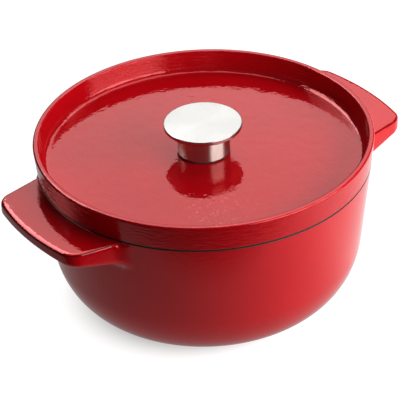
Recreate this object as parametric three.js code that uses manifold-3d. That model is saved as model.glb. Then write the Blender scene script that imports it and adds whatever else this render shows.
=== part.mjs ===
// Cast-iron dutch oven: an enamelled pot with two cast side handles, and a lift-off lid.
// The lid is a flat tray inside a raised rim. Its stainless knob is a cap on a neck, held down
// by one screw from below. Units are millimetres, +Z is up, the handles lie along X, and the
// origin is at the centre of the pot's underside.
import * as THREE from 'three';
import { mergeVertices } from 'three/addons/utils/BufferGeometryUtils.js';
import Module from 'manifold-3d';

const wasm = await Module();
wasm.setup();

// ---- Driving dimensions ----

// Clearance between two pieces that touch.
const contactGap = 0.3;

// Pot: a flat foot, an elliptical bowl and a straight wall that leans outwards to the rim.
// wallLean is how far the wall moves outwards for each millimetre of rise.
const potHeight = 118.05;
const rimRadius = 133;
const baseRadius = 83.2;
const bowlRise = 55;
const wallLean = 0.1133;
const potWall = 3.6;
const potFloor = 4.5;
const rimEdge = 0.8;
const footWidth = 11;
const footRecess = 1.2;

// Handles: flat tabs with a shallow curved outer edge, thicker where they meet the wall.
// handleFlare is how much each side widens for each millimetre towards the wall.
const handleReach = 34;
const handleHalfWidth = 50.5;
const handleFlare = 0.18;
const handleEdgeRadius = 205;
const handleCornerRadius = 8.5;
const handleTipThickness = 9.5;
const handleRootThickness = 17;
const handleDrop = 0.7;
const handleEdge = 1.8;

// Lid: a tray with a raised rim above the seat, and a locating ring below it. The tray's
// floor swells gently towards the flat seat of the knob, knobSeatMargin wider than its neck.
// trayLean is how far the tray's wall leans outwards for each millimetre of rise.
const lidHeight = 21.45;
const lidFlare = 2;
const lidBand = 4.7;
const lidEdge = 1.4;
const lidFloor = 4;
const trayDepth = 17.5;
const trayLean = 0.16;
const trayFillet = 5;
const traySwell = 1.3;
const knobSeatMargin = 3;
const ringDepth = 7.5;
const ringWall = 4;
const ringClearance = 1.2;
const ringDraft = 0.6;

// Basting drops under the lid: rings of domes, six more in each ring than in the last.
const dropRadius = 3.2;
const dropHeight = 3;
const dropPitch = 30;

// Knob: a disc cap on a neck sleeve, around a threaded insert.
const knobHeight = 26.1;
const capRadius = 31;
const capThickness = 3.5;
const capEdge = 0.9;
const spigotDepth = 4;
const neckRadius = 21;
const neckWall = 2.5;
const insertRadius = 8;
const gasketThickness = 0.8;
const gasketOverhang = 0.4;

// Fasteners: a socket-head screw with a spring washer and a flat washer.
const screwRadius = 3;
const screwGrip = 12;
const boreRunout = 3;
const screwHoleClearance = 0.6;
const headRadius = 5.6;
const headHeight = 3.4;
const headEdge = 0.8;
const socketRadius = 2.3;
const socketDepth = 2;
const flatWasherRadius = 9;
const flatWasherThickness = 1.2;
const springWasherRadius = 5.6;
const springWasherThickness = 1.5;
const springWasherSplit = 0.12;

// Facets round a full turn.
const bodyFacets = 64;
const knobFacets = 48;
const smallFacets = 24;
const dropFacets = 8;

// ---- Sizes worked out from them ----

const handleTip = rimRadius + handleReach;
const handleTop = potHeight - handleDrop;
const lidTopRadius = rimRadius + lidFlare;
const trayFloor = lidHeight - trayDepth;
const lidUnderside = trayFloor - lidFloor;
const knobSeat = trayFloor + traySwell;
const screwHole = screwRadius + screwHoleClearance;
const wallSlant = Math.hypot(1, wallLean);
const mouthRadius = rimRadius - potWall * wallSlant;
const ringRadius = mouthRadius - ringClearance;
const capUnderside = knobHeight - capThickness;
const neckBottom = gasketThickness + 2 * contactGap;
const neckTop = capUnderside - contactGap;
const neckBore = neckRadius - neckWall;
const spigotRadius = neckBore - contactGap;
const flatWasherTop = lidUnderside - contactGap;
const springWasherTop = flatWasherTop - flatWasherThickness - contactGap;
const headTop = springWasherTop - springWasherThickness - contactGap;
const insertBottomInLid = knobSeat + neckBottom;
const shankTop = insertBottomInLid + screwGrip;

// ---- Finishes ----

const redEnamel = { color: 0xa8121a, roughness: 0.14, metalness: 0 };
const brushedSteel = { color: 0xcfccc6, roughness: 0.32, metalness: 1 };
const zincSteel = { color: 0x9a9a98, roughness: 0.4, metalness: 1 };
const darkRubber = { color: 0x1c1a19, roughness: 0.8, metalness: 0 };

// ---- Geometry helpers ----

/** Points [radius, height] along an elliptical arc, ends included; angles in radians. */
function arcPoints(centre, radii, start, end, steps) {
  return Array.from({ length: steps + 1 }, (_, i) => {
    const angle = start + ((end - start) * i) / steps;
    return [centre[0] + radii[0] * Math.cos(angle), centre[1] + radii[1] * Math.sin(angle)];
  });
}

/** Turn a profile of [radius, height] points about Z; it runs anticlockwise, +Z being up. */
function revolve(profile, facets) {
  const points = profile.map(([radius, height]) => new THREE.Vector2(radius, height));
  return new THREE.LatheGeometry(points, facets).rotateX(Math.PI / 2);
}

/** Turn a closed outline about Z; the first point is repeated to close it. */
function revolveRing(outline, facets) {
  return revolve([...outline, outline[0]], facets);
}

/** A closed geometry as a solid that can be joined and cut. */
function toSolid(geometry) {
  const bare = geometry.index ? geometry.toNonIndexed() : geometry.clone();
  bare.deleteAttribute('normal');
  bare.deleteAttribute('uv');
  const merged = mergeVertices(bare, 1e-4);
  const corners = merged.index.array;
  const triangles = [];
  for (let i = 0; i < corners.length; i += 3) {
    const [a, b, c] = corners.slice(i, i + 3);
    if (a !== b && b !== c && c !== a) triangles.push(a, b, c);
  }
  return new wasm.Manifold(new wasm.Mesh({
    numProp: 3,
    vertProperties: new Float32Array(merged.attributes.position.array),
    triVerts: new Uint32Array(triangles),
  }));
}

/** A solid back as a geometry. */
function toGeometry(solid) {
  const mesh = solid.getMesh();
  const geometry = new THREE.BufferGeometry();
  geometry.setAttribute('position', new THREE.BufferAttribute(mesh.vertProperties, 3));
  geometry.setIndex(new THREE.BufferAttribute(mesh.triVerts, 1));
  geometry.computeVertexNormals();
  return geometry;
}

/** A named mesh with its own material, its geometry raised to the given height. */
function piece(name, geometry, finish, height = 0) {
  const mesh = new THREE.Mesh(geometry, new THREE.MeshStandardMaterial(finish));
  mesh.name = name;
  mesh.position.z = height;
  return mesh;
}

// ---- Pot ----

/**
 * Profile of one side of the pot, from the bottom of the bowl up to the wall line.
 * The ellipse is level at the bottom and tangent to a wall that leans by wallLean.
 * inset is the distance from the outer wall, and floor the height of the bowl's bottom.
 */
function bowlProfile(inset, floor, steps) {
  const rise = bowlRise - floor;
  const wallFoot = rimRadius - inset * wallSlant - wallLean * potHeight;
  const reach = wallFoot + wallLean * bowlRise - baseRadius;
  const halfWidth = Math.sqrt(reach ** 2 - (wallLean * rise) ** 2);
  const tangent = Math.asin((-wallLean * rise) / reach);
  return arcPoints([baseRadius, bowlRise], [halfWidth, rise], -Math.PI / 2, tangent, steps);
}

/** The pot's outer shape, solid to the axis, with a shallow recess inside its foot. */
function potOuter() {
  const footInner = baseRadius - footWidth;
  const rimDrop = wallLean * rimEdge;
  return revolve([
    [0, footRecess],
    [footInner, footRecess],
    [footInner + footRecess, 0],
    ...bowlProfile(0, 0, 9),
    [rimRadius - rimDrop, potHeight - rimEdge],
    [rimRadius - rimEdge, potHeight],
    [0, potHeight],
  ], bodyFacets);
}

/** The room inside the pot, carried past the rim so that it cuts the mouth open. */
function potCavity() {
  const above = potHeight + potFloor;
  return revolve([
    [0, potFloor],
    ...bowlProfile(potWall, potFloor, 8),
    [mouthRadius - wallLean * rimEdge, potHeight - rimEdge],
    [mouthRadius + rimEdge, potHeight + contactGap],
    [mouthRadius + rimEdge, above],
    [0, above],
  ], bodyFacets);
}

/**
 * Plan outline of the handle on the +X side. Its sides splay by handleFlare towards the wall,
 * and a fillet joins each side to the curved outer edge.
 */
function handlePlan() {
  const root = baseRadius;
  const edgeCentre = handleTip - handleEdgeRadius;
  const slant = Math.hypot(1, handleFlare);
  const sideOffset = (handleHalfWidth + handleFlare * handleTip) / slant;
  const across = sideOffset - handleCornerRadius - (handleFlare * edgeCentre) / slant;
  const along = Math.sqrt((handleEdgeRadius - handleCornerRadius) ** 2 - across ** 2);
  const cornerX = edgeCentre + (across * handleFlare + along) / slant;
  const cornerY = (across - along * handleFlare) / slant;
  const sideAngle = Math.atan2(1, handleFlare);
  const edgeAngle = Math.atan2(cornerY, cornerX - edgeCentre);
  const rootHalfWidth = handleHalfWidth + handleFlare * (handleTip - root);
  const radii = [handleCornerRadius, handleCornerRadius];
  const edge = arcPoints([edgeCentre, 0], [handleEdgeRadius, handleEdgeRadius],
    -edgeAngle, edgeAngle, 8);
  return new THREE.Shape([
    [root, -rootHalfWidth],
    ...arcPoints([cornerX, -cornerY], radii, -sideAngle, -edgeAngle, 4),
    ...edge.slice(1, -1),
    ...arcPoints([cornerX, cornerY], radii, edgeAngle, sideAngle, 4),
    [root, rootHalfWidth],
  ].map(([x, y]) => new THREE.Vector2(x, y)));
}

/** The handle on the +X side: its plan with rounded edges, cut to its sloping underside. */
function handleSolid() {
  const depth = 2 * handleRootThickness;
  const slab = new THREE.ExtrudeGeometry(handlePlan(), {
    depth: depth - 2 * handleEdge,
    bevelThickness: handleEdge,
    bevelSize: handleEdge,
    bevelOffset: -handleEdge,
    bevelSegments: 2,
  });
  slab.translate(0, 0, handleTop - depth + handleEdge);
  const slope = (handleRootThickness - handleTipThickness) / handleReach;
  const beyond = handleTip + handleReach;
  const side = new THREE.Shape([
    [baseRadius, handleTop - handleTipThickness - slope * (handleTip - baseRadius)],
    [beyond, handleTop - handleTipThickness + slope * (beyond - handleTip)],
    [beyond, handleTop + handleReach],
    [baseRadius, handleTop + handleReach],
  ].map(([x, z]) => new THREE.Vector2(x, z)));
  const width = 4 * handleHalfWidth;
  const wedge = new THREE.ExtrudeGeometry(side, { depth: width, bevelEnabled: false });
  wedge.translate(0, 0, -width / 2).rotateX(Math.PI / 2);
  return toSolid(slab).intersect(toSolid(wedge));
}

function potBody() {
  const right = handleSolid();
  const left = toSolid(toGeometry(right).rotateZ(Math.PI));
  const cast = toSolid(potOuter()).add(right).add(left).subtract(toSolid(potCavity()));
  return piece('pot_body', toGeometry(cast), redEnamel);
}

// ---- Lid, measured up from its seat on the pot's rim ----

/** Floor of the tray from its edge to the knob's seat, as half a cosine wave. */
function swellPoints(outer, inner) {
  const steps = 8;
  return Array.from({ length: steps + 1 }, (_, i) => [
    outer + (inner - outer) * i / steps,
    trayFloor + traySwell * (1 - Math.cos(Math.PI * i / steps)) / 2,
  ]);
}

/** Cross-section of the lid, without its basting drops. */
function lidOutline() {
  const bandInner = lidTopRadius - lidBand;
  const filletHeight = trayFloor + trayFillet;
  const wallAtFillet = bandInner - trayLean * (lidHeight - lidEdge - filletHeight);
  const filletCentre = wallAtFillet - trayFillet * Math.hypot(1, trayLean);
  const ringInner = ringRadius - ringWall;
  const underFillet = lidFloor / 2;
  return [
    [screwHole, lidUnderside],
    [ringInner - underFillet, lidUnderside],
    [ringInner, lidUnderside - underFillet],
    [ringInner + ringDraft, -ringDepth],
    [ringRadius - ringDraft, -ringDepth],
    [ringRadius, 0],
    [rimRadius - rimEdge, 0],
    [rimRadius, rimEdge],
    ...arcPoints([lidTopRadius - lidEdge, lidHeight - lidEdge], [lidEdge, lidEdge],
      0, Math.PI / 2, 2),
    ...arcPoints([bandInner + lidEdge, lidHeight - lidEdge], [lidEdge, lidEdge],
      Math.PI / 2, Math.PI, 2),
    ...arcPoints([filletCentre, filletHeight], [trayFillet, trayFillet],
      -Math.atan(trayLean), -Math.PI / 2, 4),
    ...swellPoints(filletCentre - 2 * trayFillet, neckRadius + knobSeatMargin),
    [screwHole, knobSeat],
  ];
}

/** One dome of a basting drop, standing out below the lid's floor and rooted inside it. */
function dropSolid(radius, angle) {
  const root = lidFloor / 2;
  const dome = revolve([
    ...arcPoints([0, 0], [dropRadius, dropHeight], -Math.PI / 2, 0, 2),
    [dropRadius, root],
    [0, root],
  ], dropFacets);
  dome.translate(radius * Math.cos(angle), radius * Math.sin(angle), lidUnderside);
  return toSolid(dome);
}

/** All the drops: rings one pitch apart, as many as fit inside the locating ring. */
function dropSolids() {
  const room = ringRadius - ringWall - lidFloor / 2 - dropRadius;
  const rings = Math.floor(room / dropPitch);
  const drops = [];
  for (let ring = 1; ring <= rings; ring += 1) {
    const count = 6 * ring;
    for (let i = 0; i < count; i += 1) {
      drops.push(dropSolid(ring * dropPitch, (2 * Math.PI * (i + 0.5)) / count));
    }
  }
  return drops;
}

function lidBody() {
  const plain = toSolid(revolveRing(lidOutline(), bodyFacets));
  const cast = dropSolids().reduce((lid, drop) => lid.add(drop), plain);
  return piece('lid', toGeometry(cast), redEnamel);
}

// ---- Knob, measured up from its seat on the lid ----

function knobCap() {
  const seatInner = insertRadius + contactGap;
  return piece('knob_cap', revolve([
    [0, 0],
    [seatInner, 0],
    [seatInner, -spigotDepth],
    [spigotRadius, -spigotDepth],
    [spigotRadius, 0],
    [capRadius - capEdge, 0],
    ...arcPoints([capRadius - capEdge, capThickness / 2], [capEdge, capThickness / 2],
      -Math.PI / 4, Math.PI / 2, 3),
    [0, capThickness],
  ], knobFacets), brushedSteel, capUnderside);
}

function knobNeck() {
  return piece('knob_neck', revolveRing([
    [neckBore, 0],
    [neckRadius, 0],
    [neckRadius, neckTop - neckBottom],
    [neckBore, neckTop - neckBottom],
  ], knobFacets), brushedSteel, neckBottom);
}

function knobInsert() {
  const threadRadius = screwRadius + contactGap;
  const boreDepth = screwGrip + boreRunout;
  return piece('knob_insert', revolve([
    [0, boreDepth],
    [threadRadius, boreDepth],
    [threadRadius, 0],
    [insertRadius, 0],
    [insertRadius, neckTop - neckBottom],
    [0, neckTop - neckBottom],
  ], smallFacets), zincSteel, neckBottom);
}

function knobGasket() {
  const outer = neckRadius + gasketOverhang;
  return piece('knob_gasket', revolveRing([
    [screwHole, 0],
    [outer, 0],
    [outer, gasketThickness],
    [screwHole, gasketThickness],
  ], knobFacets), darkRubber, contactGap);
}

// ---- Fasteners, measured up from the lid's seat ----

/** The screw stands head down; a hexagon socket is cut into the underside of its head. */
function fixingScrew() {
  const shank = shankTop - headTop;
  const body = revolve([
    [0, -headHeight],
    [headRadius - headEdge, -headHeight],
    [headRadius, headEdge - headHeight],
    [headRadius, 0],
    [screwRadius, 0],
    [screwRadius, shank - headEdge],
    [screwRadius - headEdge, shank],
    [0, shank],
  ], smallFacets);
  const socket = revolve([
    [0, -headHeight - socketDepth],
    [socketRadius, -headHeight - socketDepth],
    [socketRadius, socketDepth - headHeight],
    [0, socketDepth - headHeight],
  ], 6);
  const screw = toSolid(body).subtract(toSolid(socket));
  return piece('fixing_screw', toGeometry(screw), zincSteel, headTop);
}

function flatWasher() {
  return piece('flat_washer', revolveRing([
    [screwHole, -flatWasherThickness],
    [flatWasherRadius, -flatWasherThickness],
    [flatWasherRadius, 0],
    [screwHole, 0],
  ], smallFacets), zincSteel, flatWasherTop);
}

/** A split ring: an arc that stops short of a full turn by the split's angle. */
function springWasher() {
  const inner = screwRadius + contactGap;
  const end = 2 * Math.PI - springWasherSplit;
  const split = new THREE.Shape();
  split.absarc(0, 0, springWasherRadius, springWasherSplit, end, false);
  split.absarc(0, 0, inner, end, springWasherSplit, true);
  const ring = new THREE.ExtrudeGeometry(split, {
    depth: springWasherThickness,
    curveSegments: smallFacets,
    bevelEnabled: false,
  });
  return piece('spring_washer', ring, zincSteel, springWasherTop - springWasherThickness);
}

// ---- Assembly ----

const knob = new THREE.Group();
knob.position.z = knobSeat;
knob.add(knobGasket(), knobNeck(), knobInsert(), knobCap());

const lidAssembly = new THREE.Group();
lidAssembly.position.z = potHeight + contactGap;
lidAssembly.add(lidBody(), knob, flatWasher(), springWasher(), fixingScrew());

const dutchOven = new THREE.Group();
dutchOven.add(potBody(), lidAssembly);

export default dutchOven;
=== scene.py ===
"""Looks of an enamelled cast-iron dutch oven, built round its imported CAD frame.

The frame is in metres: +Z is up, the handles lie along X, and the origin is at the centre of
the pot's underside. Sizes below are in millimetres, as on a foundry drawing, and each mesh is
scaled to metres as it is made.
"""

import logging
import math
from dataclasses import dataclass, field
from enum import Enum
from typing import Any, Optional, Union

import bmesh
import bpy
import numpy as np
from mathutils import Matrix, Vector
from numpy.typing import NDArray


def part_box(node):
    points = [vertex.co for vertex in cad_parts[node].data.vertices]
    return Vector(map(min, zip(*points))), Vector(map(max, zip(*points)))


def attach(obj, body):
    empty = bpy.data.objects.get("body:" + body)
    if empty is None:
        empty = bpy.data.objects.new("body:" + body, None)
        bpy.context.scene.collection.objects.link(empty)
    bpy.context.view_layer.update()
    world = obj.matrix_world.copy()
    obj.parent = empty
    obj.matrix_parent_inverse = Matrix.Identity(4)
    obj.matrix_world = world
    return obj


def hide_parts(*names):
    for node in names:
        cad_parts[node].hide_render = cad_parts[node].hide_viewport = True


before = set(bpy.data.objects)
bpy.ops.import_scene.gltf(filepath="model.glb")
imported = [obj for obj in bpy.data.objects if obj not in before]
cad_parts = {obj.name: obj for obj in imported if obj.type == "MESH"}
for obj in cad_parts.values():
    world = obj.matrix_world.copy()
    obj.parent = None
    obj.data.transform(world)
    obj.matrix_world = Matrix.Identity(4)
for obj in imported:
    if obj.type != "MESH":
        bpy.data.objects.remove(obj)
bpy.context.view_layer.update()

MM = 0.001
ARC_STEPS = 6
MERGE_GAP = 2e-7
LOG = logging.getLogger("dutch_oven")

Array = NDArray[np.float64]
Colour = tuple[float, float, float, float]
Corner = tuple[float, float, float]
Roundings = tuple[float, float, float, float]
Mesh = bpy.types.Object


# ---- Names of bodies, material slots and stretches of enamel ----


class Body(Enum):
    """The two bodies of the frame."""

    POT = "pot"
    LID = "lid"


class Slot(Enum):
    """The record's material slots."""

    ENAMEL = "red_enamel"
    KNOB = "knob_steel"
    HARDWARE = "hardware_steel"
    RUBBER = "gasket_rubber"


class Coat(Enum):
    """What covers the iron, as the number stored along a profile."""

    GLAZE = 0.0
    GROUND = 1.0
    LINING = 2.0


# ---- Profiles and grids ----


def unit(vectors: Array) -> Array:
    """Each row divided by its length; a row of no length stays as it is."""
    length = np.linalg.norm(vectors, axis=-1, keepdims=True)
    return vectors / np.where(length < 1e-12, 1.0, length)


def smooth_step(low: float, high: float, value: Array) -> Array:
    """Rise from 0 at low to 1 at high, as 3t^2 - 2t^3 of the clamped share t."""
    share = np.clip((value - low) / (high - low), 0.0, 1.0)
    return share * share * (3 - 2 * share)


def distinct(points: Array) -> Array:
    """Drop every point that lies on the one before it."""
    gaps = np.linalg.norm(np.diff(points, axis=0), axis=1)
    return points[np.concatenate([[True], gaps > 1e-5])]


def rounded_outline(
    corners: list[Corner], steps: int = ARC_STEPS, closed: bool = False
) -> Array:
    """Profile through corners, each rounded by its own radius.

    A corner of turn angle t and radius q is cut back by q tan(|t| / 2) on both sides, and the
    cut-back point turns about the arc's centre through 0..t. One more point stands a little
    outside each arc, so that shading doesn't run from the arc into the flat beside it.

    Args:
        corners: Rows of radius, height and rounding radius.
        steps: Segments in each rounding.
        closed: Whether the last corner is joined to the first.

    Returns:
        Rows of radius and height.
    """
    data = np.array(corners, float)
    place, rounding = data[:, :2], data[:, 2:]
    before, after = place - np.roll(place, 1, axis=0), np.roll(place, -1, axis=0) - place
    inward, outward = unit(before), unit(after)
    turn = np.arctan2(
        inward[:, 0] * outward[:, 1] - inward[:, 1] * outward[:, 0],
        (inward * outward).sum(axis=1),
    )[:, None]
    if not closed:
        turn[[0, -1]] = 0.0
    cut = rounding * np.tan(np.abs(turn) / 2)
    normal = np.stack([-inward[:, 1], inward[:, 0]], axis=1) * np.sign(turn)
    start = place - inward * cut
    centre = start + normal * rounding
    angle = turn * np.linspace(0.0, 1.0, steps + 1)
    spoke = start - centre
    cosine, sine = np.cos(angle), np.sin(angle)
    arc_x = centre[:, :1] + cosine * spoke[:, :1] - sine * spoke[:, 1:]
    arc_y = centre[:, 1:] + sine * spoke[:, :1] + cosine * spoke[:, 1:]
    gap_in = np.linalg.norm(before, axis=1, keepdims=True) - cut
    gap_out = np.linalg.norm(after, axis=1, keepdims=True) - cut
    lead_in = start - inward * np.minimum(0.35 * cut, 0.2 * np.maximum(gap_in, 0.0))
    finish = place + outward * cut
    lead_out = finish + outward * np.minimum(0.35 * cut, 0.2 * np.maximum(gap_out, 0.0))
    rows = np.concatenate(
        [lead_in[:, None], np.stack([arc_x, arc_y], axis=2), lead_out[:, None]], axis=1
    )
    return distinct(rows.reshape(-1, 2))


def with_spacing(outline: Array, longest: float) -> Array:
    """Add points along an outline until no step is longer than longest; its own points stay.

    Args:
        outline: Rows of radius and height.
        longest: Longest step.

    Returns:
        The outline with its added points.
    """
    along = np.concatenate([[0.0], np.cumsum(np.linalg.norm(np.diff(outline, axis=0), axis=1))])
    share = np.ceil(np.diff(along) / longest).astype(int)
    counts = np.maximum(share, 1)
    start = np.repeat(along[:-1], counts)
    size = np.repeat(np.diff(along) / counts, counts)
    order = np.arange(counts.sum()) - np.repeat(np.cumsum(counts) - counts, counts)
    spots = np.concatenate([start + size * order, along[-1:]])
    return np.stack([np.interp(spots, along, outline[:, k]) for k in (0, 1)], axis=1)


def turned_to(outline: Array, angle: Array) -> Array:
    """Turn a profile about Z: x = r cos a, y = r sin a, z = height, at each angle a.

    Args:
        outline: Rows of radius and height.
        angle: The columns' angles.

    Returns:
        Points as [column, row, xyz].
    """
    return np.stack(
        [
            np.outer(np.cos(angle), outline[:, 0]),
            np.outer(np.sin(angle), outline[:, 0]),
            np.outer(np.ones(angle.size), outline[:, 1]),
        ],
        axis=2,
    )


def turned(outline: Array, facets: int) -> Array:
    """Turn a profile about Z at even angles, one for each facet."""
    return turned_to(outline, np.linspace(0.0, 2 * np.pi, facets, endpoint=False))


def ring_section(
    inner: float, outer: float, lie: "Extent", rounding: Roundings, steps: int = ARC_STEPS
) -> Array:
    """Rounded rectangle between two radii, anticlockwise from its inner lower corner.

    Args:
        inner: Radius of the hole.
        outer: Radius of the outside.
        lie: Gives the lower and upper height.
        rounding: Radius of each corner's rounding.
        steps: Segments in each rounding.

    Returns:
        Rows of radius and height.
    """
    across, up = (inner, outer, outer, inner), (lie.bottom, lie.bottom, lie.top, lie.top)
    return rounded_outline(list(zip(across, up, rounding)), steps, closed=True)


def even_steps(count: int) -> Array:
    """Shares from 1 / count to 1, evenly spaced."""
    return np.linspace(0.0, 1.0, count + 1)[1:]


def eased_steps(count: int) -> Array:
    """Shares up to 1, closer together at both ends: (1 - cos(pi t)) / 2."""
    return (1 - np.cos(np.pi * even_steps(count))) / 2


def mesh_piece(
    name: str,
    grid: Array,
    joined: bool = False,
    marks: Optional[dict[str, Array]] = None,
) -> Mesh:
    """A smooth closed piece from one or more grids.

    Quads join each column to the next, the last column to the first, and each row to the next.
    Points that coincide, as at a pole, are merged. If the volume, the sum of p0 . (p1 x p2) / 6
    over the triangles, is negative, the faces are turned round.

    Args:
        name: The piece's name.
        grid: Points in millimetres as [column, row, xyz] or [island, column, row, xyz].
        joined: Whether the last row is joined to the first.
        marks: Values at the points, kept as attributes of the same grid shape.

    Returns:
        The object, with its place in its mesh.
    """
    islands = grid if grid.ndim == 4 else grid[None]
    count, columns, rows, _ = islands.shape
    number = np.arange(count * columns * rows).reshape(count, columns, rows)
    across = np.roll(number, -1, axis=1)
    upper = np.roll(number, -1, axis=2)
    both = np.roll(across, -1, axis=2)
    quads = np.stack([number, across, both, upper], axis=3)
    quads = (quads if joined else quads[:, :, :-1]).reshape(-1, 4)
    points = islands.reshape(-1, 3)
    p = points[quads]
    volume = np.einsum("ij,ij->", p[:, 0], np.cross(p[:, 1], p[:, 2]) + np.cross(p[:, 2], p[:, 3]))
    if volume < 0:
        quads = quads[:, ::-1]
    mesh = bpy.data.meshes.new(name)
    mesh.from_pydata((points * MM).tolist(), [], quads.tolist())
    for mark, values in (marks or {}).items():
        layer = mesh.attributes.new(mark, "FLOAT", "POINT")
        layer.data.foreach_set("value", np.ascontiguousarray(values, np.float32).ravel())
    merged = bmesh.new()
    merged.from_mesh(mesh)
    bmesh.ops.remove_doubles(merged, verts=merged.verts, dist=MERGE_GAP)
    merged.to_mesh(mesh)
    merged.free()
    mesh.polygons.foreach_set("use_smooth", np.ones(len(mesh.polygons), bool))
    piece = bpy.data.objects.new(name, mesh)
    bpy.context.scene.collection.objects.link(piece)
    LOG.info("%s: %d faces", name, len(mesh.polygons))
    return piece


@dataclass(frozen=True)
class Extent:
    """Where a CAD node lies, in millimetres."""

    radius: float
    bottom: float
    top: float

    @classmethod
    def of(cls, node: str) -> "Extent":
        """Read a node's box: its largest X, lowest Z and highest Z."""
        low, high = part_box(node)
        return cls(high.x / MM, low.z / MM, high.z / MM)


# ---- Shader building ----


class Value:
    """One shader number in arithmetic; each operation adds a Math node."""

    def __init__(self, tree: "NodeTree", socket: bpy.types.NodeSocket) -> None:
        """Wrap a socket of a tree."""
        self.tree = tree
        self.socket = socket

    def _math(self, operation: str, first: "Number", second: "Number") -> "Value":
        """One Math node on two numbers."""
        return self.tree.node("ShaderNodeMath", {"operation": operation}, {0: first, 1: second})

    def __add__(self, other: "Number") -> "Value":
        """Sum."""
        return self._math("ADD", self, other)

    __radd__ = __add__

    def __mul__(self, other: "Number") -> "Value":
        """Product."""
        return self._math("MULTIPLY", self, other)

    __rmul__ = __mul__

    def __sub__(self, other: "Number") -> "Value":
        """Difference."""
        return self._math("SUBTRACT", self, other)

    def __rsub__(self, other: "Number") -> "Value":
        """Difference, reflected."""
        return self._math("SUBTRACT", other, self)

    def __pow__(self, other: "Number") -> "Value":
        """Power."""
        return self._math("POWER", self, other)

    def __rpow__(self, other: "Number") -> "Value":
        """Power, reflected."""
        return self._math("POWER", other, self)

    def over(self, low: float, high: float) -> "Value":
        """Smooth rise from 0 at low to 1 at high; falls if low is above high.

        Args:
            low: Where the rise starts.
            high: Where it ends.

        Returns:
            The smoothed share.
        """
        ends = (low, high, 0.0, 1.0) if low < high else (high, low, 1.0, 0.0)
        settings = {"interpolation_type": "SMOOTHSTEP"}
        feeds = {"Value": self, **dict(enumerate(ends, 1))}
        return self.tree.node("ShaderNodeMapRange", settings, feeds)


Number = Union[Value, float]
Feed = Union[Value, float, tuple]


class NodeTree:
    """The nodes of one material."""

    def __init__(self, name: str) -> None:
        """Start an empty node material.

        Args:
            name: The material's name.
        """
        self.material = bpy.data.materials.new(name)
        self.material.use_nodes = True
        self.material.node_tree.nodes.clear()

    def node(
        self,
        kind: str,
        settings: Optional[dict[str, Any]] = None,
        feeds: Optional[dict[Union[str, int], Feed]] = None,
        result: Union[str, int] = 0,
    ) -> Value:
        """Add any node.

        Args:
            kind: The node's type.
            settings: Its own settings, set first.
            feeds: Values or links of its sockets, by identifier, name or number.
            result: The output to hand back, by identifier, name or number.

        Returns:
            The chosen output.
        """
        made = self.material.node_tree.nodes.new(kind)
        for key, setting in (settings or {}).items():
            setattr(made, key, setting)
        for key, feed in (feeds or {}).items():
            socket = self._pick(made.inputs, key)
            if isinstance(feed, Value):
                self.material.node_tree.links.new(feed.socket, socket)
            else:
                socket.default_value = feed
        return Value(self, self._pick(made.outputs, result) if len(made.outputs) else None)

    @staticmethod
    def _pick(sockets: Any, key: Union[str, int]) -> bpy.types.NodeSocket:
        """A socket by number, by identifier or by name.

        Args:
            sockets: A node's inputs or outputs.
            key: Number, identifier or name.

        Returns:
            The socket.
        """
        if isinstance(key, int):
            return sockets[key]
        named = [s for s in sockets if s.identifier == key] or [s for s in sockets if s.name == key]
        return named[0]

    def place(self, stretch: tuple[float, float, float] = (1.0, 1.0, 1.0)) -> Value:
        """Object coordinates, each axis multiplied by its stretch.

        Args:
            stretch: Factor of each axis.

        Returns:
            The coordinates.
        """
        spot = self.node("ShaderNodeTexCoord", result="Object")
        if stretch == (1.0, 1.0, 1.0):
            return spot
        return self.node("ShaderNodeMapping", {}, {"Vector": spot, "Scale": stretch})

    def axes(self) -> tuple[Value, Value, Value]:
        """The three object coordinates as numbers.

        Returns:
            The numbers x, y and z.
        """
        first = self.node("ShaderNodeSeparateXYZ", {}, {"Vector": self.place()})
        sockets = first.socket.node.outputs
        return first, Value(self, sockets[1]), Value(self, sockets[2])

    def noise(self, spot: Value, scale: float, detail: float = 2.0, rough: float = 0.5) -> Value:
        """Soft noise about 0.5; scale is in bumps a metre."""
        feeds = {"Vector": spot, "Scale": scale, "Detail": detail, "Roughness": rough}
        return self.node("ShaderNodeTexNoise", {}, feeds)

    def mark(self, name: str) -> Value:
        """A number stored at the mesh's points."""
        return self.node("ShaderNodeAttribute", {"attribute_name": name}, result="Fac")

    def mix(self, share: Feed, first: Feed, second: Feed) -> Value:
        """Colour from first, at share 0, to second, at share 1."""
        feeds = {"Factor_Float": share, "A_Color": first, "B_Color": second}
        return self.node("ShaderNodeMix", {"data_type": "RGBA"}, feeds, "Result_Color")

    def bump(self, height: Value, depth: float, below: Optional[Value] = None) -> Value:
        """Surface relief: height 0..1 stands for 0..depth metres, on top of the relief below.

        Args:
            height: Pattern from 0 to 1.
            depth: Its full height in metres.
            below: Relief that it lies on.

        Returns:
            The bent surface direction.
        """
        feeds: dict[Union[str, int], Feed] = {"Height": height, "Distance": depth, "Strength": 1.0}
        if below is not None:
            feeds["Normal"] = below
        return self.node("ShaderNodeBump", {}, feeds)

    def finish(self, feeds: dict[Union[str, int], Feed]) -> bpy.types.Material:
        """End the tree in a Principled shader with these feeds.

        Args:
            feeds: Values or links of the shader's sockets.

        Returns:
            The material.
        """
        shader = self.node("ShaderNodeBsdfPrincipled", {}, feeds)
        self.node("ShaderNodeOutputMaterial", {}, {"Surface": shader})
        return self.material


# ---- Finishes ----


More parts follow.
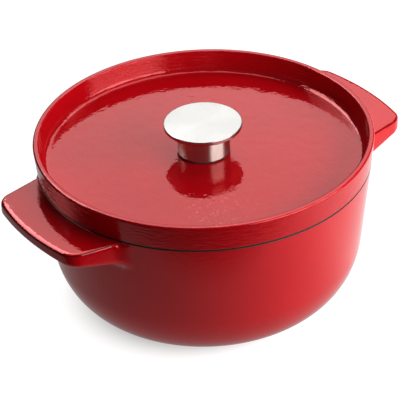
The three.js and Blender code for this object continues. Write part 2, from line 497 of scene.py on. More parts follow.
@dataclass(frozen=True)
class VitreousEnamel:
    """Glossy red glaze over cast iron, with dark ground coat at its edges and a pale lining.

    The meshes carry a mark named coat, which runs from GLAZE through GROUND to LINING, and a
    mark named thin, which is 1 on edges where the molten glaze draws back. Ripple is the
    surface's slow waviness. The glaze is clear red glass over bright iron, so part of what it
    mirrors comes back red: candy is that share.
    """

    name: str
    glaze: Colour = (0.56, 0.0030, 0.0080, 1.0)
    deep_glaze: Colour = (0.48, 0.0016, 0.0055, 1.0)
    ground: Colour = (0.040, 0.007, 0.006, 1.0)
    lining: Colour = (0.74, 0.68, 0.56, 1.0)
    roughness: float = 0.024
    candy: float = 0.2
    ripple: float = 0.00009
    streak: float = 0.0
    streak_stretch: tuple[float, float, float] = (1.0, 1.0, 1.0)
    thin_glaze: Colour = (0.10, 0.0022, 0.003, 1.0)
    aged_lining: Colour = (0.60, 0.52, 0.40, 1.0)
    burnt: Colour = (0.060, 0.026, 0.020, 1.0)
    cloud_scale: float = 22.0
    speck_scale: float = 900.0
    wobble_scale: float = 160.0
    peel_scale: float = 320.0
    drag_scale: float = 60.0
    pit_depth: float = 0.00012

    def build(self) -> bpy.types.Material:
        """Make the node material.

        Returns:
            The material.
        """
        tree = NodeTree(self.name)
        spot = tree.place()
        cloud = tree.noise(spot, self.cloud_scale, 3.0, 0.55)
        speck = tree.noise(spot, self.speck_scale, 2.0, 0.6)
        wobble = (tree.noise(spot, self.wobble_scale, 3.0, 0.6) - 0.5) * 0.5
        coat = tree.mark("coat") + wobble
        thin = tree.mark("thin")
        is_ground = coat.over(0.42, 0.52)
        is_lining = coat.over(1.42, 1.56)
        drawn_back = (thin + wobble * 0.8).over(0.35, 1.1) * 0.75
        tone = (cloud.over(0.3, 0.7) * 0.5) + (speck.over(0.4, 0.8) * 0.12)
        red = tree.mix(tone, self.glaze, self.deep_glaze)
        red = tree.mix(drawn_back, red, self.thin_glaze)
        stain = tree.mix(cloud.over(0.45, 0.75) * 0.35, self.lining, self.aged_lining)
        fired = tree.mix(speck, self.ground, self.burnt)
        colour = tree.mix(is_lining, tree.mix(is_ground, red, fired), stain)
        matt = is_ground * (1 - is_lining)
        gloss = (cloud * 0.03) + (speck * 0.015) + (matt * 0.38) + (is_lining * 0.08)
        peel = tree.noise(spot, self.peel_scale, 1.0, 0.5)
        relief = tree.bump(peel, self.ripple)
        if self.streak > 0:
            drag = tree.noise(tree.place(self.streak_stretch), self.drag_scale, 3.0, 0.5)
            relief = tree.bump(drag, self.streak, relief)
        relief = tree.bump(speck * matt, self.pit_depth, relief)
        return tree.finish(
            {
                "Base Color": colour,
                "Metallic": (1 - is_ground) * self.candy,
                "Roughness": gloss + self.roughness - 0.02,
                "IOR": 1.52,
                "Normal": relief,
            }
        )


@dataclass(frozen=True)
class TurnedSteel:
    """Stainless steel faced on a lathe: fine rings, a soft sheen and faint handling marks."""

    name: str
    steel: Colour = (0.55, 0.542, 0.524, 1.0)
    worn: Colour = (0.50, 0.491, 0.472, 1.0)
    roughness: float = 0.33
    ring_depth: float = 0.000006
    rings: float = 3200.0
    grain: float = 1.0

    def build(self) -> bpy.types.Material:
        """Make the node material.

        Returns:
            The material.
        """
        tree = NodeTree(self.name)
        x, y, z = tree.axes()
        reach = ((x * x) + (y * y)) ** 0.5
        path = tree.node("ShaderNodeCombineXYZ", {}, {"X": reach, "Z": z})
        lathe = tree.noise(path, self.rings, 2.0, 0.6)
        turn = tree.node("ShaderNodeMath", {"operation": "ARCTAN2"}, {0: y, 1: x})
        sweep = tree.node("ShaderNodeCombineXYZ", {}, {"X": turn, "Y": reach * 4.0})
        brush = tree.noise(sweep, 26.0, 3.0, 0.65)
        cloud = tree.noise(tree.place(), 70.0, 3.0)
        wear = (brush.over(0.35, 0.7) * 0.5) + (cloud.over(0.4, 0.7) * 0.3)
        colour = tree.mix(wear, self.steel, self.worn)
        gloss = (lathe - 0.5) * 0.14 + (brush - 0.5) * 0.10 + (cloud - 0.5) * 0.06
        relief = tree.bump(lathe, self.ring_depth)
        return tree.finish(
            {
                "Base Color": colour,
                "Metallic": 1.0,
                "Roughness": gloss + self.roughness,
                "Anisotropic": self.grain,
                "Anisotropic Rotation": 0.25,
                "Normal": relief,
            }
        )


@dataclass(frozen=True)
class PlatedSteel:
    """Dull plated steel of the fixings, with cloudy patches and small pits."""

    name: str
    bright: Colour = (0.56, 0.56, 0.55, 1.0)
    dull: Colour = (0.36, 0.35, 0.34, 1.0)
    roughness: float = 0.34

    def build(self) -> bpy.types.Material:
        """Make the node material.

        Returns:
            The material.
        """
        tree = NodeTree(self.name)
        spot = tree.place()
        cloud = tree.noise(spot, 260.0, 4.0, 0.6)
        pit = tree.noise(spot, 1500.0, 2.0)
        colour = tree.mix(cloud.over(0.35, 0.7), self.bright, self.dull)
        gloss = (cloud - 0.5) * 0.3 + (pit - 0.5) * 0.1
        return tree.finish(
            {
                "Base Color": colour,
                "Metallic": 1.0,
                "Roughness": gloss + self.roughness,
                "Normal": tree.bump(pit, 0.00001),
            }
        )


@dataclass(frozen=True)
class MouldedRubber:
    """Matt black rubber with a fine mould texture and a dusty bloom."""

    name: str
    rubber: Colour = (0.007, 0.0065, 0.0065, 1.0)
    bloom: Colour = (0.018, 0.0175, 0.017, 1.0)
    roughness: float = 0.62

    def build(self) -> bpy.types.Material:
        """Make the node material.

        Returns:
            The material.
        """
        tree = NodeTree(self.name)
        spot = tree.place()
        cloud = tree.noise(spot, 190.0, 3.0, 0.6)
        grain = tree.noise(spot, 2600.0, 2.0)
        colour = tree.mix(cloud.over(0.4, 0.75), self.rubber, self.bloom)
        gloss = (cloud - 0.5) * 0.2 + (grain - 0.5) * 0.1
        return tree.finish(
            {
                "Base Color": colour,
                "Roughness": gloss + self.roughness,
                "Specular IOR Level": 0.1,
                "Normal": tree.bump(grain, 0.00003),
            }
        )


Finish = Union[VitreousEnamel, TurnedSteel, PlatedSteel, MouldedRubber]


def dress(piece: Mesh, finish: Finish, body: Body, slot: Slot, *nodes: str) -> Mesh:
    """Give a piece its finish, its body and the CAD nodes it stands for.

    Args:
        piece: The new piece.
        finish: What it is made of.
        body: The body it moves with.
        slot: Not used.
        nodes: CAD nodes that it replaces.

    Returns:
        The same piece.
    """
    made = bpy.data.materials.get(finish.name) or finish.build()
    piece.data.materials.append(made)
    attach(piece, body.value)
    if nodes:
        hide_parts(*nodes)
    return piece


# ---- Rounded joins of distances ----


def round_meet(a: Array, b: Array, radius: Union[float, Array]) -> Array:
    """Overlap of two solids given by distances a and b, its outer edge rounded by radius.

    It is min(max(a, b), -q) plus the length of (max(a + q, 0), max(b + q, 0)).
    """
    corner = np.hypot(np.maximum(a + radius, 0.0), np.maximum(b + radius, 0.0))
    return np.minimum(np.maximum(a, b), -radius) + corner


def round_join(a: Array, b: Array, radius: Union[float, Array]) -> Array:
    """Union of two solids given by distances a and b, its inner corner filled by radius.

    It is max(min(a, b), q) less the length of (max(q - a, 0), max(q - b, 0)).
    """
    corner = np.hypot(np.maximum(radius - a, 0.0), np.maximum(radius - b, 0.0))
    return np.maximum(np.minimum(a, b), radius) - corner


# ---- Pot ----


@dataclass
class Pot:
    """The cast pot: foot, bowl, wall, rim and two tab handles, in one skin.

    Attributes:
        tip: Reach of the handles from the axis.
        top: Height of the rim.
        Others are the casting's own sizes in millimetres.
    """

    tip: float
    top: float
    rim_radius: float = 133.0
    base_radius: float = 83.2
    bowl_rise: float = 55.0
    lean: float = 0.1133
    wall: float = 3.6
    floor: float = 4.5
    rim_edge: float = 1.0
    foot_width: float = 11.0
    foot_recess: float = 1.2
    half_width: float = 50.5
    flare: float = 0.18
    edge_radius: float = 205.0
    corner_radius: float = 8.5
    tip_thickness: float = 9.5
    root_thickness: float = 17.0
    drop: float = 0.7
    edge: float = 2.3
    fillet: float = 6.5
    sweep_start: float = 60.0
    spacing: float = 9.0
    bare_rim: float = 1.4
    rubbed_foot: float = 0.8
    # The pot's glaze is a lighter copy of the lid's red, painted brighter to stand in for more
    # light on the bowl and handles.
    finish: Finish = field(
        default_factory=lambda: VitreousEnamel(
            "pot_enamel_painted_brighter",
            (0.615, 0.0031, 0.0081, 1.0),
            (0.540, 0.0018, 0.0057, 1.0),
            streak=0.00002,
            streak_stretch=(1.0, 1.0, 2.2),
        )
    )

    @property
    def handle_top(self) -> float:
        """Height of the handles' flat top."""
        return self.top - self.drop

    @property
    def slope(self) -> float:
        """How fast the underside of a handle falls towards the wall."""
        return (self.root_thickness - self.tip_thickness) / (self.tip - self.rim_radius)

    def wall_radius(self, height: Array) -> Array:
        """Outer radius of the leaning wall at a height."""
        return self.rim_radius - self.lean * (self.top - height)

    def wall_at(self, height: float) -> float:
        """Outer radius of the wall at one height."""
        return float(self.wall_radius(np.array(height)))

    def underside(self, out: Array) -> Array:
        """Height of the handle's underside at a distance out from the axis."""
        return self.handle_top - self.tip_thickness - self.slope * (self.tip - out)

    def bowl(self, inset: float, floor: float, steps: int) -> Array:
        """Quarter ellipse, level at the bottom and tangent to the leaning wall.

        Args:
            inset: Distance in from the outer wall.
            floor: Height of the bowl's bottom.
            steps: Segments along the curve.

        Returns:
            Rows of radius and height, from the bottom to the wall.
        """
        slant = math.hypot(1.0, self.lean)
        rise = self.bowl_rise - floor
        foot = self.rim_radius - inset * slant - self.lean * self.top
        reach = foot + self.lean * self.bowl_rise - self.base_radius
        half = math.sqrt(reach**2 - (self.lean * rise) ** 2)
        angle = np.linspace(-np.pi / 2, math.asin(-self.lean * rise / reach), steps + 1)
        return np.stack(
            [self.base_radius + half * np.cos(angle), self.bowl_rise + rise * np.sin(angle)], axis=1
        )

    def plan_distance(self, x: Array, y: Array) -> Array:
        """Distance to the handle's plan: a shallow arc met by two splayed sides.

        Args:
            x: Places along the handles.
            y: Places across them.

        Returns:
            Distances, negative inside the plan.
        """
        outer = np.hypot(np.abs(x) - (self.tip - self.edge_radius), y) - self.edge_radius
        slant = math.hypot(1.0, self.flare)
        side = np.abs(y) + self.flare * np.abs(x) - (self.half_width + self.flare * self.tip)
        return round_meet(outer, side / slant, self.corner_radius)

    def skin_distance(self, points: Array) -> Array:
        """Distance to the wall and handles, all corners rounded.

        The handle is its plan met by its underside, joined to the wall with a fillet, and cut
        level at its top; above that only the wall is left.

        Args:
            points: Points with xyz as last axis.

        Returns:
            Distances, negative inside the casting.
        """
        x, y, z = points[..., 0], points[..., 1], points[..., 2]
        slant = math.hypot(1.0, self.lean)
        wall = (np.hypot(x, y) - self.wall_radius(z)) / slant
        under = (self.underside(np.abs(x)) - z) / math.hypot(1.0, self.slope)
        handle = round_meet(self.plan_distance(x, y), under, self.edge * 1.25)
        cast = round_join(wall, handle, self.fillet)
        return np.minimum(round_meet(cast, z - self.handle_top, self.edge), wall)

    def settle(self, points: Array) -> Array:
        """Bring points onto the skin: p - F grad F / |grad F|^2, a dozen times.

        Args:
            points: Points near the skin.

        Returns:
            The points on the skin.
        """
        steps = np.eye(3) * 0.01
        for _ in range(12):
            here = self.skin_distance(points)
            slope = np.stack(
                [
                    (self.skin_distance(points + s) - self.skin_distance(points - s)) / 0.02
                    for s in steps
                ],
                axis=-1,
            )
            size = np.maximum((slope**2).sum(axis=-1), 0.2)
            points = points - slope * (np.clip(here, -2.0, 2.0) / size)[..., None]
        return points

    def columns(self) -> Array:
        """Angles round the pot, closer together at the handles' corners, sides and roots.

        Returns:
            Angles in radians, rising through the full turn.
        """
        quarter = np.concatenate(
            [
                np.arange(0.0, 13.5, 1.1),
                np.arange(13.5, 19.2, 0.33),
                np.arange(19.2, 27.0, 0.42),
                np.arange(27.0, 31.0, 0.8),
                np.linspace(31.0, 90.0, 30),
            ]
        )
        half = np.concatenate([quarter, 180.0 - quarter[-2:0:-1]])
        return np.radians(np.concatenate([half, half + 180.0]))

    def reach_at(self, angle: Array, level: float) -> Array:
        """Radius of the wall-and-handle plan at each angle, by halving an interval.

        Args:
            angle: The columns' angles.
            level: Height of the plan.

        Returns:
            One radius for each angle.
        """
        low = np.full_like(angle, self.base_radius)
        high = np.full_like(angle, self.tip * 1.1)
        wall = self.wall_at(level)
        for _ in range(40):
            middle = (low + high) / 2
            plan = self.plan_distance(middle * np.cos(angle), middle * np.sin(angle))
            inside = round_join(middle - wall, plan, self.fillet) < 0
            low, high = np.where(inside, middle, low), np.where(inside, high, middle)
        return (low + high) / 2

    def outer_rows(self, angle: Array) -> Array:
        """Wall and handles between the bowl and the handles' top.

        Each column runs up the wall, out along the underside, up the tip and back along the
        top. Where there is no handle, the same rows are spread evenly up the wall, and between
        the two they are mixed by how far the handle stands out. Then all settle on the skin.

        Args:
            angle: The columns' angles.

        Returns:
            Points as [column, row, xyz].
        """
        reach = self.reach_at(angle, self.handle_top)[:, None]
        out = np.abs(reach * np.cos(angle)[:, None])
        wall_top = self.wall_at(self.handle_top)
        root = np.abs(np.cos(angle))[:, None] * wall_top
        root_low = self.underside(root)
        tip_low = np.maximum(self.underside(out), root_low)
        start_radius = self.wall_at(self.sweep_start)
        level = np.full_like(reach, self.handle_top)
        corners = [
            (np.full_like(reach, start_radius), np.full_like(reach, self.sweep_start), None),
            (self.wall_radius(root_low), root_low, even_steps(14) ** 0.8),
            (reach, tip_low, eased_steps(16)),
            (reach, level, eased_steps(14)),
            (np.full_like(reach, wall_top), level, eased_steps(16)),
        ]
        radii, heights = [], []
        for (r0, z0, _), (r1, z1, share) in zip(corners, corners[1:]):
            radii.append(r0 + (r1 - r0) * share)
            heights.append(z0 + (z1 - z0) * share)
        radius, height = np.concatenate(radii, axis=1), np.concatenate(heights, axis=1)
        rows = radius.shape[1]
        plain_height = np.broadcast_to(
            np.linspace(self.sweep_start, self.handle_top, rows + 1)[1:], radius.shape
        )
        share = smooth_step(0.0, 7.0, reach - wall_top)
        height = plain_height + (height - plain_height) * share
        radius = self.wall_radius(plain_height) + (radius - self.wall_radius(plain_height)) * share
        points = np.stack(
            [radius * np.cos(angle)[:, None], radius * np.sin(angle)[:, None], height], axis=2
        )
        settled = self.settle(points[:, :-1])
        return np.concatenate([settled, points[:, -1:]], axis=1)

    def build(self) -> Mesh:
        """Make the whole skin, from the pole of the underside to the pole of the inner floor.

        Returns:
            The pot.
        """
        inner_foot = self.base_radius - self.foot_width
        mouth = self.rim_radius - self.wall * math.hypot(1.0, self.lean)
        recess = self.foot_recess
        below = rounded_outline(
            [
                (0.0, recess, 0.0),
                (inner_foot - recess, recess, 0.8),
                (inner_foot + recess, 0.0, 0.8),
                (self.base_radius, 0.0, 0.0),
            ]
        )
        bowl = self.bowl(0.0, 0.0, 26)
        start = np.array([[self.wall_at(self.sweep_start), self.sweep_start]])
        low = with_spacing(distinct(np.concatenate([below, bowl, start])), self.spacing)
        rim = rounded_outline(
            [
                (self.wall_at(self.handle_top), self.handle_top, 0.0),
                (self.rim_radius, self.top, self.rim_edge * 0.6),
                (mouth, self.top, self.rim_edge),
                (mouth - self.lean * 8.0, self.top - 8.0, 0.0),
            ]
        )[1:]
        inner = np.concatenate([self.bowl(self.wall, self.floor, 26)[::-1], [[0.0, self.floor]]])
        high = with_spacing(distinct(np.concatenate([rim, inner])), self.spacing)
        angle = self.columns()
        sweep = self.outer_rows(angle)
        grid = np.concatenate([turned_to(low, angle), sweep, turned_to(high, angle)], axis=1)
        inside = np.arange(grid.shape[1]) >= low.shape[0] + sweep.shape[1]
        return mesh_piece("pot_shell", grid, marks=self.coats(grid, inside[None, :]))

    def coats(self, grid: Array, inside: NDArray[np.bool_]) -> dict[str, Array]:
        """Where the lining, the ground coat and the thin glaze lie.

        The inner rows are lined up to a bare rim, the foot is rubbed down to the ground coat,
        and the glaze is thin along the handles' upper edge.

        Args:
            grid: Points as [column, row, xyz].
            inside: Whether each row is on the inner side.

        Returns:
            The marks coat and thin.
        """
        radius, height = np.hypot(grid[..., 0], grid[..., 1]), grid[..., 2]
        inside = np.broadcast_to(inside, radius.shape)
        at_rim = inside & (height > self.top - self.bare_rim)
        coat = np.where(inside, Coat.LINING.value, Coat.GLAZE.value)
        coat = np.where(at_rim, Coat.GROUND.value, coat)
        under_foot = (height < 0.5) & (radius < self.base_radius + 1.5) & ~inside
        coat = np.where(under_foot, self.rubbed_foot, coat)
        handle_edge = np.abs(self.plan_distance(grid[..., 0], grid[..., 1])) < 1.2
        near_top = np.abs(height - (self.handle_top - 0.6)) < 1.1
        off_wall = radius > self.wall_radius(height) - self.wall * 0.5 + 8.0
        thin = np.where(handle_edge & near_top & off_wall, 1.0, 0.0)
        return {"coat": coat, "thin": thin}

    def dress(self, piece: Mesh) -> None:
        """Enamel the pot and let it stand for its CAD node."""
        dress(piece, self.finish, Body.POT, Slot.ENAMEL, "pot_body")


# ---- Lid ----


@dataclass
class Lid:
    """The cast lid: a flat tray in a raised rim, a locating ring and basting drops.

    Attributes:
        seat: Height at which the lid rests on the pot.
        top: Height of the lid's rim.
        Others are the casting's own sizes in millimetres.
    """

    seat: float
    top: float
    foot_radius: float = 133.0
    top_radius: float = 135.0
    band: float = 4.7
    edge: float = 1.5
    seat_edge: float = 0.9
    tray_depth: float = 17.5
    tray_lean: float = 0.16
    tray_fillet: float = 5.0
    tray_swell: float = 1.3
    knob_seat_radius: float = 24.0
    thickness: float = 4.0
    ring_radius: float = 128.18
    ring_wall: float = 4.0
    ring_depth: float = 7.5
    ring_draft: float = 0.6
    hole: float = 3.6
    drop_radius: float = 3.2
    drop_height: float = 3.0
    drop_pitch: float = 30.0
    drop_rings: int = 3
    edge_thinness: float = 0.3
    facets: int = 288
    finish: Finish = field(
        default_factory=lambda: VitreousEnamel(
            "lid_enamel", streak=0.00028, streak_stretch=(1.5, 1.5, 12.0)
        )
    )

    @property
    def tray_floor(self) -> float:
        """Height of the tray's floor."""
        return self.top - self.tray_depth

    @property
    def underside(self) -> float:
        """Height of the lid's underside."""
        return self.tray_floor - self.thickness

    def outline(self) -> Array:
        """Closed cross-section, anticlockwise from the screw hole under the lid.

        The tray's floor is raised by half a cosine wave from its edge to the knob's seat.

        Returns:
            Rows of radius and height.
        """
        band_inner = self.top_radius - self.band
        wall_foot = band_inner - self.tray_lean * self.tray_depth
        ring_inner = self.ring_radius - self.ring_wall
        ring_foot = self.seat - self.ring_depth
        corners = [
            (self.hole, self.underside, 0.5),
            (ring_inner, self.underside, 2.5),
            (ring_inner + self.ring_draft, ring_foot, 1.2),
            (self.ring_radius - self.ring_draft, ring_foot, 1.2),
            (self.ring_radius, self.seat, 0.8),
            (self.foot_radius, self.seat, self.seat_edge),
            (self.top_radius, self.top, self.edge),
            (band_inner, self.top, self.edge),
            (wall_foot, self.tray_floor, self.tray_fillet),
            (self.hole, self.tray_floor, 0.5),
        ]
        outline = with_spacing(rounded_outline(corners, 8, closed=True), 3.0)
        edge = wall_foot - self.tray_fillet * math.hypot(1.0, self.tray_lean) - 2 * self.tray_fillet
        share = np.clip((edge - outline[:, 0]) / (edge - self.knob_seat_radius), 0.0, 1.0)
        upper = outline[:, 1] > self.tray_floor - self.thickness / 2
        outline[:, 1] += np.where(upper, self.tray_swell * (1 - np.cos(np.pi * share)) / 2, 0.0)
        return outline

    def build(self) -> list[Mesh]:
        """Turn the lid and set the rings of drops under it.

        Returns:
            The shell and the drops.
        """
        outline = self.outline()
        radius, height = outline[:, 0], outline[:, 1]
        below = (height < self.underside + 3.0) & (radius < self.ring_radius)
        below = (height < self.seat + 0.9) | below
        coat = np.where(below, Coat.LINING.value, Coat.GLAZE.value)
        lip = (radius > self.ring_radius - 0.5) & (height < self.seat + 0.95)
        coat = np.where(lip, Coat.GROUND.value, coat)
        grid = turned(outline, self.facets)
        spread = np.ones((self.facets, 1))
        off_middle = np.abs(radius - self.top_radius + self.band / 2)
        on_edge = (np.abs(height - self.top) < 0.4) & (off_middle > self.band * 0.5 - 0.9)
        thin = np.where(on_edge, self.edge_thinness, 0.0)
        marks = {"coat": spread * coat, "thin": spread * thin}
        shell = mesh_piece("lid_shell", grid, joined=True, marks=marks)
        return [shell, self.drops()]

    def drops(self) -> Mesh:
        """Rings of domes, six more in each ring.

        Each dome is a quarter of an ellipse turned about its own axis.

        Returns:
            All the drops as one piece.
        """
        ring = np.repeat(np.arange(1, self.drop_rings + 1), 6 * np.arange(1, self.drop_rings + 1))
        order = np.arange(ring.size) - 3 * ring * (ring - 1)
        angle = 2 * np.pi * (order + 0.5) / (6 * ring)
        quarter = np.linspace(-np.pi / 2, 0.0, 6)
        reach, fall = self.drop_radius * np.cos(quarter), self.drop_height * np.sin(quarter)
        dome = np.stack([reach, fall], axis=1)
        root = np.array([[self.drop_radius, self.thickness / 2], [0.0, self.thickness / 2]])
        one = turned(np.concatenate([dome, root]), 14)
        centre = np.stack(
            [
                self.drop_pitch * ring * np.cos(angle),
                self.drop_pitch * ring * np.sin(angle),
                np.full(ring.size, self.underside),
            ],
            axis=1,
        )
        islands = one[None] + centre[:, None, None, :]
        shape = islands.shape[:3]
        marks = {"coat": np.full(shape, Coat.LINING.value), "thin": np.zeros(shape)}
        return mesh_piece("lid_drops", islands, marks=marks)

    def dress(self, pieces: list[Mesh]) -> None:
        """Enamel the lid and its drops."""
        dress(pieces[0], self.finish, Body.LID, Slot.ENAMEL, "lid")
        dress(pieces[1], self.finish, Body.LID, Slot.ENAMEL)


# ---- Knob ----


@dataclass
class Knob:
    """A disc cap on a neck sleeve over a threaded insert, on a rubber gasket.

    Attributes:
        cap: Where the cap lies.
        neck: Where the sleeve lies.
        insert: Where the insert lies.
        gasket: Where the gasket lies.
        Others are sizes in millimetres.
    """

    cap: Extent
    neck: Extent
    insert: Extent
    gasket: Extent
    cap_thickness: float = 3.5
    cap_edge: float = 0.7
    spigot_radius: float = 18.2
    recess: float = 8.3
    neck_wall: float = 2.5
    bore: float = 3.3
    bore_depth: float = 15.0
    thread_pitch: float = 1.0
    thread_depth: float = 0.28
    squeeze: float = 0.5
    cap_finish: Finish = field(
        default_factory=lambda: TurnedSteel("knob_cap_steel", roughness=0.26, grain=0.6)
    )
    # The sleeve's steel is a lighter, warmer copy of the cap's, painted brighter to lift the
    # stripes it mirrors.
    neck_finish: Finish = field(
        default_factory=lambda: TurnedSteel(
            "knob_neck_steel_painted_brighter", (0.80, 0.77, 0.70, 1.0), (0.70, 0.67, 0.61, 1.0), 0.37, 0.000003
        )
    )
    insert_finish: Finish = field(default_factory=lambda: PlatedSteel("insert_steel"))
    gasket_finish: Finish = field(default_factory=lambda: MouldedRubber("gasket_rubber"))

    def build_cap(self) -> Mesh:
        """Disc with softened edges, a spigot below it and a round recess for the insert.

        Returns:
            The cap.
        """
        cap = self.cap
        face = cap.top - self.cap_thickness
        outline = rounded_outline(
            [
                (0.0, face, 0.0),
                (self.recess, face, 0.15),
                (self.recess, cap.bottom, 0.3),
                (self.spigot_radius, cap.bottom, 0.4),
                (self.spigot_radius, face, 0.4),
                (cap.radius, face, self.cap_edge),
                (cap.radius, cap.top, self.cap_edge),
                (0.0, cap.top, 0.0),
            ]
        )
        return mesh_piece("knob_disc", turned(with_spacing(outline, 5.0), 160))

    def build_neck(self) -> Mesh:
        """Straight sleeve with softened ends.

        Returns:
            The sleeve.
        """
        neck = self.neck
        bore = neck.radius - self.neck_wall
        outline = ring_section(bore, neck.radius, neck, (0.4, 0.5, 0.4, 0.4))
        return mesh_piece("knob_sleeve", turned(with_spacing(outline, 5.0), 144), joined=True)

    def build_insert(self) -> Mesh:
        """Round post with a threaded bore.

        In the bore the radius is the bore's plus a triangle wave of height / pitch - angle /
        (2 pi), faded out at both ends.

        Returns:
            The post.
        """
        post = self.insert
        outer = rounded_outline(
            [
                (0.0, post.top, 0.0),
                (post.radius, post.top, 0.6),
                (post.radius, post.bottom, 0.6),
                (self.bore, post.bottom, 0.5),
                (self.bore, post.bottom + 2.0, 0.0),
            ]
        )[:-1]
        roof = post.bottom + self.bore_depth
        levels = np.linspace(post.bottom + 1.0, roof - 0.5, 84)
        bore = np.stack([np.full(levels.size, self.bore), levels], axis=1)
        grid = turned(np.concatenate([outer, bore, [[self.bore * 0.4, roof], [0.0, roof]]]), 40)
        rows = slice(len(outer), len(outer) + levels.size)
        return mesh_piece(
            "knob_post", with_thread(grid, rows, self.thread_pitch, self.thread_depth)
        )

    def build_gasket(self, hole: float) -> Mesh:
        """Flat rubber ring with rounded edges, squeezed a little under the sleeve.

        Args:
            hole: Radius of the ring's hole.

        Returns:
            The ring.
        """
        reach = self.gasket.radius - self.squeeze
        outline = ring_section(hole, reach, self.gasket, (0.2, 0.3, 0.3, 0.2), 4)
        return mesh_piece("knob_seal", turned(with_spacing(outline, 4.0), 120), joined=True)

    def assemble(self, hole: float) -> None:
        """Build and dress the knob's four pieces.

        Args:
            hole: Radius of the gasket's hole.
        """
        dress(self.build_cap(), self.cap_finish, Body.LID, Slot.KNOB, "knob_cap")
        dress(self.build_neck(), self.neck_finish, Body.LID, Slot.KNOB, "knob_neck")
        dress(self.build_insert(), self.insert_finish, Body.LID, Slot.HARDWARE, "knob_insert")
        dress(self.build_gasket(hole), self.gasket_finish, Body.LID, Slot.RUBBER, "knob_gasket")


def with_thread(grid: Array, rows: slice, pitch: float, depth: float) -> Array:
    """Cut a thread into some rows of a turned grid.

    The radius changes by depth times a triangle wave of z / pitch - angle / (2 pi), and the
    depth fades to nothing over one pitch at each end.

    Args:
        grid: Points as [column, row, xyz].
        rows: The rows to cut.
        pitch: Rise in one turn.
        depth: Depth of the groove.

    Returns:
        The changed grid.
    """
    part = grid[:, rows]
    angle = np.arctan2(part[..., 1], part[..., 0])
    height = part[..., 2]
    wave = np.abs(((height / pitch - angle / (2 * np.pi)) % 1.0) * 2 - 1)
    ends = smooth_step(0.0, pitch, height - height.min())
    ends = ends * smooth_step(0.0, pitch, height.max() - height)
    radius = np.hypot(part[..., 0], part[..., 1])
    scale = (radius - depth * wave * ends) / np.maximum(radius, 1e-9)
    cut = grid.copy()
    cut[:, rows, :2] = part[..., :2] * scale[..., None]
    return cut


# ---- Fixings ----


@dataclass
class Fixings:
    """The socket-head screw under the lid, its spring washer and its flat washer.

    Attributes:
        screw: Where the screw lies.
        spring: Where the spring washer lies.
        flat: Where the flat washer lies.
        Others are sizes in millimetres.
    """

    screw: Extent
    spring: Extent
    flat: Extent
    shank_radius: float = 3.0
    head_height: float = 3.4
    head_edge: float = 0.8
    socket_radius: float = 2.3
    socket_depth: float = 2.0
    thread_pitch: float = 1.0
    thread_depth: float = 0.3
    split: float = 0.12
    finish: Finish = field(default_factory=lambda: PlatedSteel("fixing_steel"))

    def build_screw(self) -> Mesh:
        """Head down: socket, head, threaded shank and rounded point.

        The socket's rows are hexagons: the radius is q cos(30) / cos(((a + 30) mod 60) - 30)
        in degrees, q being the corner's radius.

        Returns:
            The screw.
        """
        screw, shank = self.screw, self.shank_radius
        head_top = screw.bottom + self.head_height
        socket = np.array(
            [
                [0.0, screw.bottom + self.socket_depth],
                [self.socket_radius * 0.98, screw.bottom + self.socket_depth],
                [self.socket_radius, screw.bottom + self.socket_depth - 0.15],
                [self.socket_radius, screw.bottom + 0.2],
            ]
        )
        head = rounded_outline(
            [
                (self.socket_radius + 0.25, screw.bottom, 0.0),
                (screw.radius, screw.bottom, self.head_edge),
                (screw.radius, head_top, 0.3),
                (shank, head_top, 0.3),
                (shank, head_top + 2.0, 0.0),
            ]
        )
        levels = np.linspace(head_top + 2.2, screw.top - 0.9, 96)
        thread = np.stack([np.full(levels.size, shank), levels], axis=1)
        point = np.array(
            [[shank - 0.3, screw.top - 0.45], [shank - 0.8, screw.top], [0.0, screw.top]]
        )
        grid = turned(np.concatenate([socket, head, thread, point]), 48)
        first = len(socket) + len(head)
        rows = slice(first, first + levels.size)
        grid = with_thread(grid, rows, self.thread_pitch, self.thread_depth)
        angle = np.linspace(0.0, 2 * np.pi, 48, endpoint=False)
        sixth = np.pi / 3
        hexagon = math.cos(sixth / 2) / np.cos((angle + sixth / 2) % sixth - sixth / 2)
        grid[:, : len(socket), :2] *= hexagon[:, None, None]
        return mesh_piece("lid_screw", grid)

    def build_spring(self) -> Mesh:
        """Split ring: a rounded square carried round an arc, its last ring drawn to a point.

        Returns:
            The spring washer.
        """
        spring = self.spring
        inner = self.shank_radius + 0.3
        section = ring_section(inner, spring.radius, spring, (0.25,) * 4, 3)
        angle = np.linspace(self.split, 2 * np.pi - self.split, 72)
        ring = np.stack(
            [
                np.outer(section[:, 0], np.cos(angle)),
                np.outer(section[:, 0], np.sin(angle)),
                np.outer(section[:, 1], np.ones(angle.size)),
            ],
            axis=2,
        )
        ends = ring[:, [0, -1]].mean(axis=0, keepdims=True).repeat(len(section), axis=0)
        grid = np.concatenate([ends[:, :1], ring, ends[:, 1:]], axis=1)
        return mesh_piece("spring_ring", grid)

    def build_flat(self, hole: float) -> Mesh:
        """Stamped washer, its edges rounded by the die.

        Args:
            hole: Radius of the washer's hole.

        Returns:
            The flat washer.
        """
        flat = self.flat
        outline = ring_section(hole, flat.radius, flat, (0.3, 0.15, 0.35, 0.15), 4)
        return mesh_piece("flat_ring", turned(with_spacing(outline, 3.0), 72), joined=True)

    def assemble(self, hole: float) -> None:
        """Build and dress the three fixings.

        Args:
            hole: Radius of the flat washer's hole.
        """
        dress(self.build_screw(), self.finish, Body.LID, Slot.HARDWARE, "fixing_screw")
        dress(self.build_spring(), self.finish, Body.LID, Slot.HARDWARE, "spring_washer")
        dress(self.build_flat(hole), self.finish, Body.LID, Slot.HARDWARE, "flat_washer")


# ---- Studio ----


def grey(level: float) -> Colour:
    """An opaque grey of this level."""
    return (level, level, level, 1.0)


